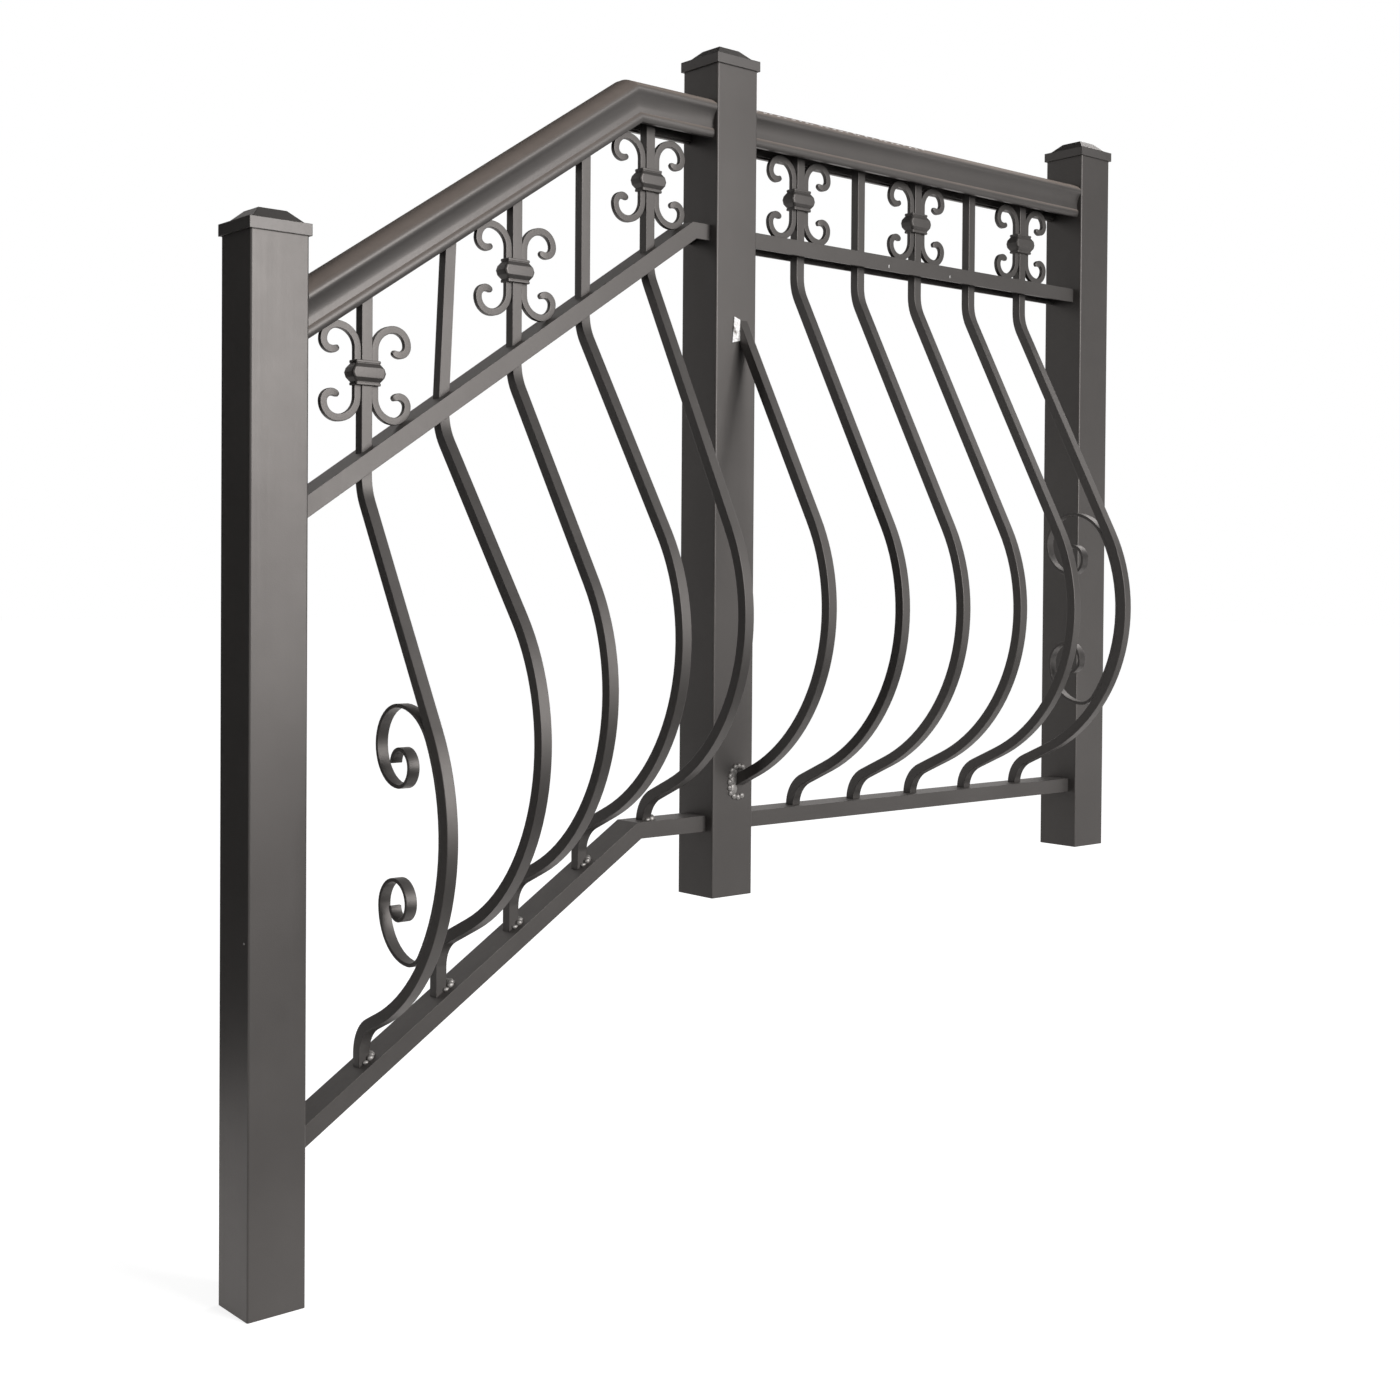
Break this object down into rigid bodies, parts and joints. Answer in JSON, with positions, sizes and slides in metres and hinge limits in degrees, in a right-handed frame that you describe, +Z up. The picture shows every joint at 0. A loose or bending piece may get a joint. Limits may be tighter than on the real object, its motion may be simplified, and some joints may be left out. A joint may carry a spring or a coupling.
{
  "type": "belly picket railing",
  "caption": "Metal stair and landing railing with belly pickets, scroll ornaments and a moulded handrail.",
  "frame": {"origin": "centre of the middle post's foot", "axes": "+X along the railing from the stair bay to the level bay, +Z up, bellies towards -Y"},
  "size_m": [1.364, 0.2303, 1.374],
  "materials": {
    "rail_paint": "satin",
    "cap_paint": "satin",
    "bright_weld": "unpainted weld"
  },
  "bodies": {
    "root": {"c_scrolls": "rail_paint", "collars": "rail_paint", "left_post": "rail_paint", "left_post_cap": "cap_paint", "level_bottom_rail": "rail_paint", "level_handrail": "rail_paint", "level_mid_rail": "rail_paint", "level_sub_rail": "rail_paint", "middle_post": "rail_paint", "middle_post_cap": "cap_paint", "picket_1": "rail_paint", "picket_10": "rail_paint", "picket_2": "rail_paint", "picket_3": "rail_paint", "picket_4": "rail_paint", "picket_5": "rail_paint", "picket_6": "rail_paint", "picket_7": "rail_paint", "picket_8": "rail_paint", "picket_9": "rail_paint", "post_picket": "rail_paint", "right_post": "rail_paint", "right_post_cap": "cap_paint", "scrolls": "rail_paint", "stair_bottom_rail": "rail_paint", "stair_handrail": "rail_paint", "stair_mid_rail": "rail_paint", "stair_sub_rail": "rail_paint", "weld_patch": "bright_weld"}
  },
  "joints": []
}
